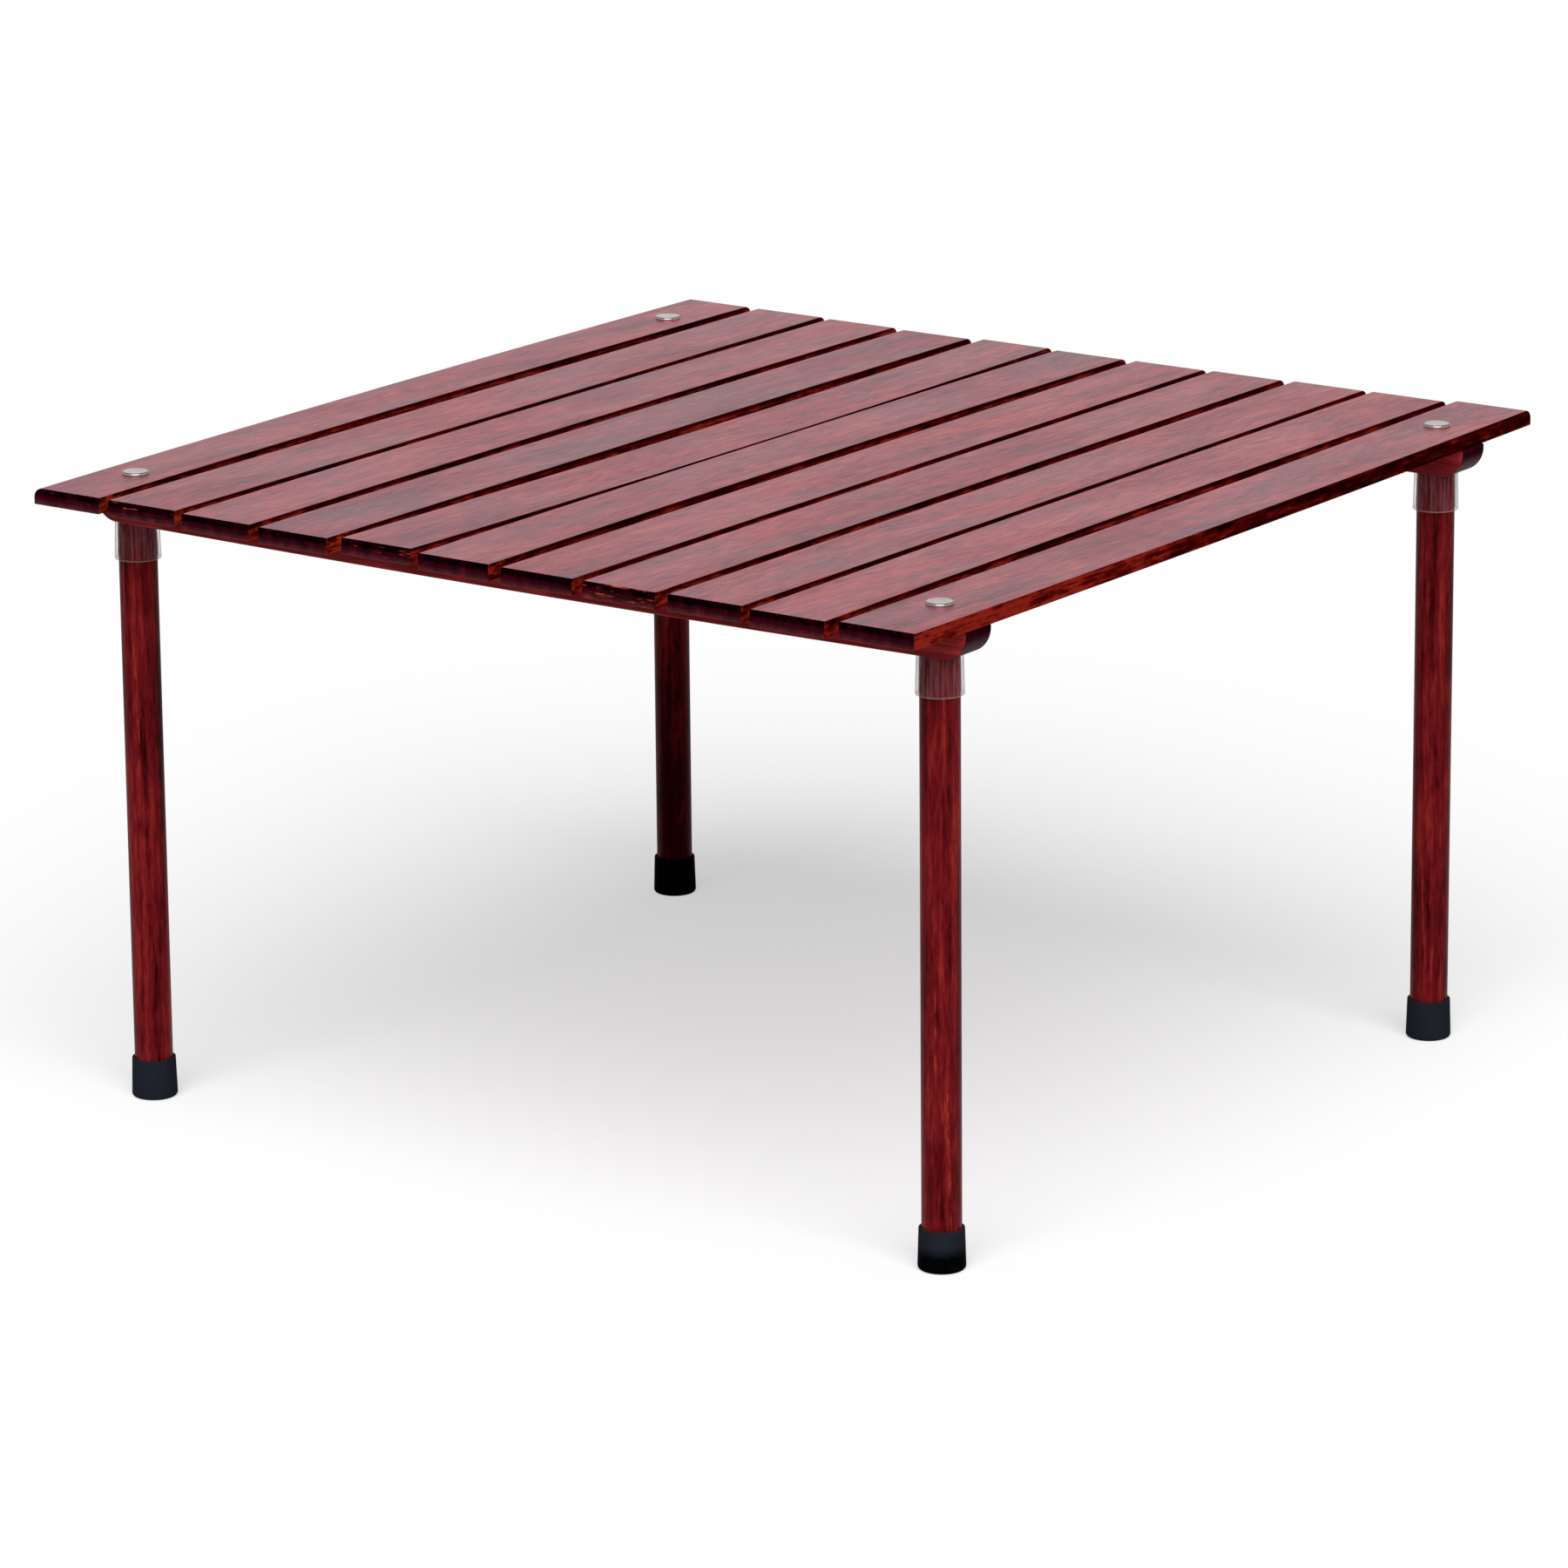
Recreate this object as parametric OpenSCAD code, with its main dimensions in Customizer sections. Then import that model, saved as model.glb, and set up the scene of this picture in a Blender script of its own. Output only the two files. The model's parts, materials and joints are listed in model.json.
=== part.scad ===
// Low camp table with a slatted top that rolls up.
// The frame: origin on the floor under the middle of the top, X along the slats, Y across them, Z up.

/* [Top] */
// Height of the slats' top face above the floor
table_h = 417; // [350:1:560]
// Length of a slat, end to end
slat_len = 712; // [560:1:900]
// Width of a slat
slat_w = 54; // [44:0.5:80]
// Thickness of a slat
slat_t = 10.5; // [8:0.5:14]
// Gap between neighbouring slats
slat_gap = 9; // [8:0.5:14]
// Radius of the top edge at the slats' -X ends
slat_near_r = 1.5; // [1:0.5:6.5]
// Radius of the round top edge at the slats' +X ends
slat_far_r = 6; // [1:0.5:6.5]
// Radius that eases a slat's other edges
slat_ease_r = 1; // [0.5:0.1:1.4]

/* [Straps] */
// Width of the webbing
strap_w = 25; // [16:1:40]
// Thickness of the webbing
strap_t = 1.2; // [0.8:0.1:2.5]
// Distance from a slat's end to a strap's centre line
strap_inset = 163; // [130:1:220]
// Distance from the outer slat's edge to the strap's end
strap_tail = 8; // [3:0.5:15]
// Slit between two lengths of strap at a fold line
strap_slit = 0.3; // [0.2:0.1:1]
// Width of a staple across the strap
staple_crown = 11; // [6:0.5:14]
// Thickness of the staple's wire
staple_wire = 1.2; // [0.6:0.1:1.6]
// Depth that a staple's legs go into the slat
staple_bite = 6; // [3:0.5:7]
// Distance between the two staples that hold a strap to a slat
staple_pitch = 28; // [12:1:36]

/* [Cross rails] */
// Width of a rail
rail_w = 28; // [22:1:50]
// Height of a rail
rail_h = 19.5; // [18:0.5:40]
// Distance from the slats' -X ends to the first rail's centre line
rail_inset_1 = 70; // [45:1:95]
// Distance from the slats' +X ends to the second rail's centre line
rail_inset_2 = 66; // [45:1:95]
// Distance from the top's long side to a rail's end
rail_setback = 2; // [0:0.5:12]
// Radius of the lower corners at a rail's ends
rail_end_r = 17; // [6:0.5:17]
// Radius that eases a rail's lower long edges
rail_ease_r = 2; // [0.5:0.5:4]

/* [Cap nuts and studs] */
// Distance from an outer slat's centre line to its cap nuts, towards the middle of the top
nut_offset = 3; // [0:0.5:8]
// Diameter of a cap nut's head
nut_head_d = 17.5; // [14:0.5:26]
// Height of a cap nut's head
nut_head_h = 2; // [1.5:0.1:4]
// Radius of the head's rim
nut_rim_r = 1.2; // [0.4:0.1:1.4]
// Diameter of a cap nut's barrel
nut_barrel_d = 9; // [8:0.5:12]
// Distance from the barrel's mouth to the slat's underside
nut_recess = 0.5; // [0.2:0.1:2]
// Diameter of a stud
stud_d = 6; // [4:0.5:6.5]
// Depth of a stud in its leg
stud_root = 28; // [15:1:60]
// Space left in the nut above a stud's tip
stud_tip_gap = 1; // [0.5:0.1:3]
// Bevel at a stud's tip
stud_bevel = 0.8; // [0.3:0.1:1.2]

/* [Legs] */
// Diameter of a leg
leg_d = 25; // [18:0.5:36]
// Wall of a clear sleeve
sleeve_wall = 1.8; // [1:0.1:3]
// Height of a clear sleeve
sleeve_h = 25; // [12:1:60]
// Height of a rubber foot
foot_h = 32; // [20:1:50]
// Rubber under the end of the leg
foot_floor = 5; // [3:0.5:10]
// Wall of a foot at its mouth
foot_wall = 1.7; // [1.2:0.1:4]
// Growth of a foot's radius from its mouth to the floor
foot_flare = 0.8; // [0:0.1:4]
// Radius of a foot's lower edge
foot_round = 2.5; // [0.5:0.5:3]

/* [Fits] */
// Radial clearance of parts that turn or slide in each other
running_gap = 0.05; // [0.02:0.01:0.1]
// Radial clearance of a stud in its rail
rail_hole_gap = 0.5; // [0.2:0.1:1.5]

/* [Hidden] */
$fn = 64;
slat_count = 11;
corner_count = 4;
rail_count = 2;
cut_over = 1;

slat_pitch = slat_w + slat_gap;
top_w = slat_count * slat_w + (slat_count - 1) * slat_gap;
under_z = table_h - slat_t;
rail_len = top_w - 2 * rail_setback;
rail_z = under_z - rail_h;
strap_x = slat_len / 2 - strap_inset;
nut_barrel_h = slat_t - nut_recess;
stud_r = stud_d / 2;
leg_r = leg_d / 2;
foot_top_r = leg_r + running_gap + foot_wall;
foot_bottom_r = foot_top_r + foot_flare;

wood = "#5e1218";
wood_dark = "#4a0d12";
webbing = "#26262a";
steel = "#c8c8c4";
clear_plastic = "#d9cfd2";
rubber = "#1b1b1d";

function two_digits(k) = k < 10 ? str("0", k) : str(k);
function numbered(name, k) = str(name, "_", two_digits(k));

// Centre line of slat k, from slat 1 on the +Y side to the last one on the -Y side
function slat_y(k) = ((slat_count + 1) / 2 - k) * slat_pitch;
// Centre line of rail k
function rail_x(k) = k == 1 ? rail_inset_1 - slat_len / 2 : slat_len / 2 - rail_inset_2;
// Corners in turn: 1 and 2 on the first slat, 3 and 4 on the last, 1 and 4 on the first rail
function corner_x(k) = rail_x(k == 1 || k == 4 ? 1 : 2);
function corner_y(k) = (k <= 2 ? 1 : -1) * (slat_y(1) - nut_offset);
function slat_corners(k) = k == 1 ? [1, 2] : k == slat_count ? [3, 4] : [];

// What rounding takes off a corner whose sides run along +X and +Y
module corner_waste(r) {
    difference() {
        translate([-cut_over, -cut_over]) square(r + cut_over);
        translate([r, r]) circle(r);
    }
}

// Rectangle from x = -w/2 to w/2 and y = 0 to h, with rounded corners: upper_r holds the left and right upper ones
module rounded_bar(w, h, upper_r, lower_r) {
    difference() {
        translate([-w / 2, 0]) square([w, h]);
        for (side = [0, 1]) mirror([side, 0]) {
            if (lower_r > 0) translate([-w / 2, 0]) corner_waste(lower_r);
            if (upper_r[side] > 0) translate([-w / 2, h]) mirror([0, 1]) corner_waste(upper_r[side]);
        }
    }
}

// Extrudes an outline drawn in X and Z along Y, and one drawn in Y and Z along X, both about the middle
module along_y(length) {
    rotate([90, 0, 0]) linear_extrude(length, center = true) children();
}
module along_x(length) {
    rotate([90, 0, 90]) linear_extrude(length, center = true) children();
}

// One slat, with a hole for each cap nut that it carries
module slat(k) {
    color(wood) difference() {
        translate([0, slat_y(k), under_z]) intersection() {
            along_y(slat_w) rounded_bar(slat_len, slat_t, [slat_near_r, slat_far_r], slat_ease_r);
            along_x(slat_len) rounded_bar(slat_w, slat_t, [slat_ease_r, slat_ease_r], slat_ease_r);
        }
        for (c = slat_corners(k)) translate([corner_x(c), corner_y(c), under_z - cut_over])
            cylinder(r = nut_barrel_d / 2 + running_gap, h = slat_t + 2 * cut_over);
    }
}

// The lengths of both straps that belong to slat k, each from fold line to fold line
module strap(k) {
    half = slat_pitch / 2 - strap_slit / 2;
    tail = slat_w / 2 - strap_tail;
    y_low = slat_y(k) - (k == slat_count ? tail : half);
    y_high = slat_y(k) + (k == 1 ? tail : half);
    color(webbing) for (side = [-1, 1])
        translate([side * strap_x - strap_w / 2, y_low, under_z - strap_t])
            cube([strap_w, y_high - y_low, strap_t]);
}

// One staple under a strap: its crown lies across the webbing and its legs go up into the slat
module staple() {
    leg_h = staple_wire + strap_t + staple_bite;
    translate([-staple_crown / 2, -staple_wire / 2, -strap_t - staple_wire]) {
        cube([staple_crown, staple_wire, staple_wire]);
        cube([staple_wire, staple_wire, leg_h]);
        translate([staple_crown - staple_wire, 0, 0]) cube([staple_wire, staple_wire, leg_h]);
    }
}

// The staples that hold both straps to slat k
module staples(k) {
    color(steel) for (side = [-1, 1], row = [-0.5, 0.5])
        translate([side * strap_x, slat_y(k) + row * staple_pitch, under_z]) staple();
}

// One rail across all the slats, with a hole for each of its two studs
module cross_rail(k) {
    color(wood) translate([rail_x(k), 0, rail_z]) difference() {
        intersection() {
            along_x(rail_w) rounded_bar(rail_len, rail_h, [0, 0], rail_end_r);
            along_y(rail_len) rounded_bar(rail_w, rail_h, [0, 0], rail_ease_r);
        }
        for (y = [corner_y(1), corner_y(corner_count)]) translate([0, y, -cut_over])
            cylinder(r = stud_r + rail_hole_gap, h = rail_h + 2 * cut_over);
    }
}

// A cap nut: a round head on the slat and a barrel in it, with a blind hole for the stud
module cap_nut(k) {
    head_r = nut_head_d / 2;
    color(steel) translate([corner_x(k), corner_y(k), table_h]) difference() {
        union() {
            rotate_extrude() difference() {
                square([head_r, nut_head_h]);
                translate([head_r, nut_head_h]) rotate(180) corner_waste(nut_rim_r);
            }
            translate([0, 0, -nut_barrel_h]) cylinder(d = nut_barrel_d, h = nut_barrel_h);
        }
        translate([0, 0, -nut_barrel_h - cut_over])
            cylinder(r = stud_r + running_gap, h = nut_barrel_h + cut_over);
    }
}

// A stud that stands in the top of a leg and reaches up through the rail into the nut
module leg_stud(k) {
    length = stud_root + rail_h + slat_t - stud_tip_gap;
    color(steel) translate([corner_x(k), corner_y(k), rail_z - stud_root]) {
        cylinder(r = stud_r, h = length - stud_bevel);
        translate([0, 0, length - stud_bevel]) cylinder(r1 = stud_r, r2 = stud_r - stud_bevel, h = stud_bevel);
    }
}

// A clear sleeve round the top of a leg
module leg_sleeve(k) {
    bore_r = leg_r + running_gap;
    color(clear_plastic) translate([corner_x(k), corner_y(k), rail_z - sleeve_h]) difference() {
        cylinder(r = bore_r + sleeve_wall, h = sleeve_h);
        translate([0, 0, -cut_over]) cylinder(r = bore_r, h = sleeve_h + 2 * cut_over);
    }
}

// A round leg from the rail down into its foot
module leg(k) {
    color(wood_dark) translate([corner_x(k), corner_y(k), 0]) difference() {
        translate([0, 0, foot_floor]) cylinder(r = leg_r, h = rail_z - foot_floor);
        translate([0, 0, rail_z - stud_root]) cylinder(r = stud_r + running_gap, h = stud_root + cut_over);
    }
}

// A rubber foot: a cup that widens to the floor and has a rounded lower edge
module leg_foot(k) {
    edge_r = foot_bottom_r - foot_round;
    color(rubber) translate([corner_x(k), corner_y(k), 0]) difference() {
        rotate_extrude() {
            polygon([[0, foot_round], [foot_bottom_r, foot_round], [foot_top_r, foot_h], [0, foot_h]]);
            translate([edge_r, foot_round]) intersection() {
                circle(foot_round);
                translate([0, -foot_round]) square(foot_round);
            }
            square([edge_r, foot_round]);
        }
        translate([0, 0, foot_floor]) cylinder(r = leg_r + running_gap, h = foot_h);
    }
}

for (k = [1:slat_count]) {
    slat(k);
    strap(k);
    staples(k);
}
for (k = [1:rail_count])
    cross_rail(k);
for (k = [1:corner_count]) {
    cap_nut(k);
    leg_stud(k);
    leg_sleeve(k);
    leg(k);
    leg_foot(k);
}
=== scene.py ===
"""Models and paints a low camp table with a slatted top that rolls up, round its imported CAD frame."""

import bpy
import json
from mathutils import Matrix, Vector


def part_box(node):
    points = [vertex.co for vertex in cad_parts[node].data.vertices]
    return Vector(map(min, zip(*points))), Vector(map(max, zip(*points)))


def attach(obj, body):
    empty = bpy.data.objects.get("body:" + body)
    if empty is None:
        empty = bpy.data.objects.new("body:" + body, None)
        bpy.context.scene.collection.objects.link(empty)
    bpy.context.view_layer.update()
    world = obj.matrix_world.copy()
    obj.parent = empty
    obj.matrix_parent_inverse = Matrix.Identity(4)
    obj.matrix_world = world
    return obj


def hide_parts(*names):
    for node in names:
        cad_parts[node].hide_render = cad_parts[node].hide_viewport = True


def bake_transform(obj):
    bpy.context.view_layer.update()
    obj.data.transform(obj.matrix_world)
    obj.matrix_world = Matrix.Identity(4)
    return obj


bl_info = {
    "name": "Roll top camp table",
    "version": (1, 0, 0),
    "blender": (4, 5, 0),
    "location": "3D View > Sidebar > Camp table",
    "description": "Models and paints the pieces of a slatted camp table whose top rolls up",
    "category": "Object",
}

import json
import math
from contextlib import contextmanager

import bmesh
import bpy
from bpy.props import FloatProperty, FloatVectorProperty, IntProperty, PointerProperty
from mathutils import Euler, Matrix, Vector

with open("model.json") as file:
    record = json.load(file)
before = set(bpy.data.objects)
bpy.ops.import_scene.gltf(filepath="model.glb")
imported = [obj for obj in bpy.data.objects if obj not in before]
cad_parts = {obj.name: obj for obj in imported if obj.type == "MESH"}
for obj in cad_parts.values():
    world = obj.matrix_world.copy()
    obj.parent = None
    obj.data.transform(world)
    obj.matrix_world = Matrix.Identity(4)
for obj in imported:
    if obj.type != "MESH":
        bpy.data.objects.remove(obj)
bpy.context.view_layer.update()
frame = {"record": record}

MM = 0.001
SLATS = range(1, 12)
RAILS = (1, 2)
CORNERS = (1, 2, 3, 4)
X, Y, Z = 0, 1, 2
MID_SLAT = "slat_06"

# How near a point has to be to count as on a plane, and as in a row of points
TOUCH = 0.05 * MM
ROW = 0.006 * MM

# How each slat lies, in mm: sideways bow at its near end, middle and far end, towards the first slat,
# then how far its near and its far end are off along +X
SLAT_LIE = {
    1: (-1, 4, 0.5, 3.5, 1),
    2: (-0.5, -0.5, -0.5, 3, 1),
    3: (-0.5, 2, 0, -0.5, -0.5),
    4: (-0.5, 1, -1, -2, -2.5),
    5: (2, -4.5, -1.5, 5, 2),
    6: (0, 2, -1, -1, -0.5),
    7: (-1.5, -1.5, -2, -2, 0.5),
    8: (-1, 0, 0, -2, 2),
    9: (-0.5, -1, 0, -0.5, 4.5),
    10: (-0.5, 2.2, 2, -4, 5.5),
    11: (1, -0.5, 4, 0.5, 11.5),
}
# Sideways bow of each rail's middle, in mm along +X
RAIL_BOW = {1: -6, 2: 0}
# Stain of each slat, from 0 for the darkest to 1 for the palest
SLAT_TONE = {
    1: 0.5, 2: 0.45, 3: 0.65, 4: 0.25, 5: 0.55, 6: 0.45, 7: 0.75, 8: 0.55, 9: 0.65, 10: 0.9, 11: 0.5
}
# Wear on the ends of each slat, from 0 for none to 1
SLAT_WEAR = {1: 0.3, 2: 0.6, 5: 0.6, 8: 1, 10: 0.2}
# Tone of each leg at its top and at its foot, on the scale of the slats' stain; leg 2, the back leg, goes
# from pale at its top to black at its foot, painted shade under the table
LEG_TOP_TONE_AND_SHADE = {1: 0.35, 2: 0.88, 3: 0.43, 4: 0.54}
LEG_FOOT_TONE_AND_SHADE = {1: 0.62, 2: 0, 3: 0.63, 4: 0.56}
# How far up each foot is black, from 0 for nowhere to 1 for all over; the back foot, foot 2, is black all
# over as painted shade, and foot 4 is black on its lower half
FOOT_BLACK = {1: 0, 2: 1, 3: 0, 4: 0.5}


# Places and sizes from the frame

def numbered(name, k):
    return f"{name}_{k:02d}"


def middle(node):
    """Centre of a CAD node."""
    low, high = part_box(node)
    return (Vector(low) + Vector(high)) / 2


def size(node):
    """Length, depth and height of a CAD node."""
    low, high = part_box(node)
    return Vector(high) - Vector(low)


def foot_of(node):
    """Point on a CAD node's upright axis, at its lowest height."""
    at = middle(node)
    at.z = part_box(node)[0][Z]
    return at


def body_of(node):
    """Name of the body that a CAD node belongs to."""
    bodies = frame["record"]["behaviour"]["bodies"]
    return next(body for body, members in bodies.items() if node in members)


# Modelling by hand

def pick_none():
    bpy.ops.object.select_all(action="DESELECT")


def pick_only(piece):
    pick_none()
    piece.select_set(True)
    bpy.context.view_layer.objects.active = piece


def apply(piece, modifier):
    """Puts what a modifier makes of a piece into its mesh."""
    pick_only(piece)
    bpy.ops.object.modifier_apply(modifier=modifier.name)


def settle(name, materials=()):
    """Puts the active object's place, turn and scale into its mesh, and gives it a name and materials."""
    bpy.ops.object.transform_apply(location=True, rotation=True, scale=True)
    piece = bpy.context.active_object
    piece.name = name
    for material in materials:
        piece.data.materials.append(material)
    return piece


def start_block(name, at, across, materials=()):
    pick_none()
    bpy.ops.mesh.primitive_cube_add(size=1, location=at, scale=across)
    return settle(name, materials)


def start_round(name, foot, radius, height, sides=64, fill="NGON", materials=()):
    """An upright cylinder that stands on a point."""
    pick_none()
    at = foot + Vector((0, 0, height / 2))
    bpy.ops.mesh.primitive_cylinder_add(
        vertices=sides, radius=radius, depth=height, end_fill_type=fill, location=at
    )
    return settle(name, materials)


def choose(parts):
    """Says whether vertices, edges or faces are selected."""
    bpy.ops.mesh.select_mode(type=parts)


@contextmanager
def editing(piece, parts="EDGE"):
    """Edit mode on one piece, with vertices, edges or faces to select."""
    pick_only(piece)
    bpy.ops.object.mode_set(mode="EDIT")
    choose(parts)
    bpy.ops.mesh.select_all(action="DESELECT")
    yield
    bpy.ops.object.mode_set(mode="OBJECT")


def centre_of(part):
    return sum((v.co for v in part.verts), Vector()) / len(part.verts)


def runs_along(edge, axis):
    way = edge.verts[1].co - edge.verts[0].co
    return abs(way[axis]) > 0.99 * way.length


def points_inwards(edge, centre):
    """Whether an edge of a ring points at the ring's centre."""
    first, second = (Vector((v.co.x - centre.x, v.co.y - centre.y)) for v in edge.verts)
    return abs(first.length - second.length) > 0.2 * MM


def lies_at(edge, height):
    return all(abs(v.co.z - height) < TOUCH for v in edge.verts)


def pick_all():
    bpy.ops.mesh.select_all(action="SELECT")


def pick(kind, test):
    """Selects the vertices, edges or faces of the mesh being edited that pass a test."""
    bpy.ops.mesh.select_all(action="DESELECT")
    mesh = bpy.context.edit_object.data
    shape = bmesh.from_edit_mesh(mesh)
    for part in getattr(shape, kind):
        if test(part):
            part.select_set(True)
    shape.select_flush_mode()
    bmesh.update_edit_mesh(mesh)


def pick_cap(way, height):
    """Selects the flat face at a height that looks up, for a way of 1, or down, for -1."""
    pick("faces", lambda f: f.normal.z * way > 0.99 and abs(centre_of(f).z - height) < TOUCH)


def split_along(axis, columns):
    """Cuts the edges of the mesh being edited that run along an axis into so many lengths."""
    pick("edges", lambda e: runs_along(e, axis))
    bpy.ops.mesh.subdivide(number_cuts=columns - 1)


def round_edges(radius, segments):
    bpy.ops.mesh.bevel(offset=radius, segments=segments, affect="EDGES", clamp_overlap=False)


def round_sharp_edges(radius, segments, sharper_than=40):
    bpy.ops.mesh.select_all(action="DESELECT")
    bpy.ops.mesh.edges_select_sharp(sharpness=math.radians(sharper_than))
    round_edges(radius, segments)


def draw_up(height):
    """Extrudes what is selected upwards, or downwards if the height is negative."""
    bpy.ops.mesh.extrude_region_move(TRANSFORM_OT_translate={"value": (0, 0, height)})


def bend(piece, axis, shift_at, reach=math.inf):
    """Moves each row of points by what a function gives for its place along an axis, within a reach."""
    inside = [v.co[axis] for v in piece.data.vertices if abs(v.co[axis]) < reach]
    with editing(piece, "VERT"):
        for place in sorted({round(at / MM, 2) * MM for at in inside}):
            pick("verts", lambda v: abs(v.co[axis] - place) < ROW)
            bpy.ops.transform.translate(value=shift_at(place))


def make_holes(piece, node, kind, radius):
    """Drills right through a piece, round each CAD node of a kind whose axis goes through its own node."""
    half, over = size(node) / 2, Vector((0, 0, 5 * MM))
    for pin in (f"{kind}_{k}" for k in CORNERS):
        off = middle(pin) - middle(node)
        if abs(off.x) < half.x and abs(off.y) < half.y:
            drill = start_round("drill", foot_of(pin) - over, radius, size(pin).z + 2 * over.z, sides=32)
            cut = piece.modifiers.new("hole", "BOOLEAN")
            cut.operation = "DIFFERENCE"
            cut.solver = "EXACT"
            cut.object = drill
            apply(piece, cut)
            bpy.data.objects.remove(drill)


def copy_of(piece, name, shift):
    """A copy with its own mesh, moved by a distance."""
    copy = piece.copy()
    copy.data = piece.data.copy()
    copy.data.transform(Matrix.Translation(shift))
    copy.name = name
    bpy.context.collection.objects.link(copy)
    return copy


def join(name, pieces):
    pick_none()
    for piece in pieces:
        piece.select_set(True)
    bpy.context.view_layer.objects.active = pieces[0]
    bpy.ops.object.join()
    pieces[0].name = name
    return pieces[0]


def paint_faces(slot, test):
    """Gives the faces of the mesh being edited that pass a test one of its materials."""
    choose("FACE")
    pick("faces", test)
    bpy.context.object.active_material_index = slot
    bpy.ops.object.material_slot_assign()


def mark(piece, name, share):
    """Stores a share on a whole piece for its material."""
    pick_only(piece)
    bpy.ops.geometry.color_attribute_add(name=name, domain="POINT", color=(share, share, share, 1))


def dress(piece, material, nodes, smooth_below=35):
    """Shades and paints a finished piece, and hides the CAD nodes that it stands for."""
    pick_only(piece)
    bpy.ops.object.shade_smooth_by_angle(angle=math.radians(smooth_below))
    if not piece.data.materials:
        piece.data.materials.append(material)
    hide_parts(*nodes)


def flatten_faces(piece):
    """Lets the broad faces of a smoothly shaded piece look flat up to their eased edges."""
    weights = piece.modifiers.new("flat_faces", "WEIGHTED_NORMAL")
    weights.keep_sharp = True
    apply(piece, weights)


def dress_rider(piece, material, node):
    """Finishes a piece that stands for one CAD node and moves with that node's body."""
    dress(piece, material, [node])
    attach(piece, body_of(node))


def stand_at_corners(pattern, name, kind, material, shares=None):
    """Copies a pattern to the CAD nodes of one kind, with each corner's shares, and removes it."""
    for k in CORNERS:
        node = f"{kind}_{k}"
        piece = copy_of(pattern, f"{name}_{k}", middle(node) - middle(f"{kind}_1"))
        for share_name, values in (shares or {}).items():
            mark(piece, share_name, values[k])
        dress_rider(piece, material, node)
    bpy.data.objects.remove(pattern)


# Shader maths

class Value:
    """A socket whose numbers can be added, multiplied and so on."""

    def __init__(self, surface, socket):
        self.surface = surface
        self.socket = socket

    def maths(self, operation, *terms):
        return self.surface.node("ShaderNodeMath", {"operation": operation}, dict(enumerate(terms)))

    def __add__(self, other):
        return self.maths("ADD", self, other)

    def __sub__(self, other):
        return self.maths("SUBTRACT", self, other)

    def __rsub__(self, other):
        return self.maths("SUBTRACT", other, self)

    def __mul__(self, other):
        return self.maths("MULTIPLY", self, other)

    __radd__ = __add__

    def largest(self, other):
        return self.maths("MAXIMUM", self, other)

    def swing(self, weight):
        """How far this noise or share is from 0.5, times a weight."""
        return (self - 0.5) * weight

    def wave(self, length):
        """A sine wave of this value, from -1 to 1."""
        turned = self * (2 * math.pi / length)
        return turned.maths("SINE", turned)

    def rise(self, start, end):
        """0 up to start, 1 from end on, and smooth between."""
        return self.surface.node(
            "ShaderNodeMapRange",
            {"interpolation_type": "SMOOTHSTEP"},
            {"Value": self, "From Min": start, "From Max": end},
        )


class Surface:
    """A node tree that takes nodes, links and finished values."""

    def __init__(self, tree):
        self.tree = tree

    def feed(self, socket, value):
        if isinstance(value, Value):
            self.tree.links.new(value.socket, socket)
        else:
            socket.default_value = value

    def node(self, kind, settings=None, sockets=None, output=0):
        """Adds a node: its settings come first, then the values or links of its sockets."""
        made = self.tree.nodes.new(kind)
        for key, value in (settings or {}).items():
            if key == "stops":
                ramp = made.color_ramp.elements
                while len(ramp) < len(value):
                    ramp.new(1)
                for stop, (at, colour) in zip(ramp, value):
                    stop.position = at
                    stop.color = (*colour, 1)
            else:
                setattr(made, key, value)
        for key, value in (sockets or {}).items():
            self.feed(made.inputs[key], value)
        return Value(self, made.outputs[output])

    def show(self, **values):
        """Feeds values to the sockets of the tree's shader."""
        sockets = self.tree.nodes["Principled BSDF"].inputs
        for key, value in values.items():
            self.feed(sockets[key.replace("_", " ")], value)

    def mix(self, share, first, second):
        """From the first colour to the second."""
        factor, colour_a, colour_b, colour_out = 0, 6, 7, 2
        ends = {colour_a: first, colour_b: second}
        for key, value in ends.items():
            if not isinstance(value, Value):
                ends[key] = (*value, 1)
        return self.node(
            "ShaderNodeMix", {"data_type": "RGBA"}, {factor: share, **ends}, colour_out
        )

    def place(self):
        return self.node("ShaderNodeTexCoord", output="Object")

    def part(self, vector, axis):
        return self.node("ShaderNodeSeparateXYZ", None, {"Vector": vector}, axis)

    def noise(self, vector, scale, detail=3.0, rough=0.55, output="Fac"):
        """Noise whose grain has so many cells to a metre along each axis."""
        stretched = self.node("ShaderNodeMapping", None, {"Vector": vector, "Scale": scale})
        sockets = {"Vector": stretched, "Scale": 1.0, "Detail": detail, "Roughness": rough}
        return self.node("ShaderNodeTexNoise", None, sockets, output)

    def ramp(self, value, stops):
        return self.node("ShaderNodeValToRGB", {"stops": stops}, {"Fac": value})

    def bump(self, height, strength, distance):
        sockets = {"Height": height, "Strength": strength, "Distance": distance}
        return self.node("ShaderNodeBump", None, sockets)


def new_material(name, **constants):
    """A material whose shader has these even values; returns it and its surface."""
    material = bpy.data.materials.new(name)
    material.use_nodes = True
    paint = Surface(material.node_tree)
    paint.show(**constants)
    return material, paint


# Finishes

def along_grain(axis, cells):
    """Cells to a metre, along and across the grain, as a scale for noise."""
    along, across = cells
    return [along if k == axis else across for k in (X, Y, Z)]


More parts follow.
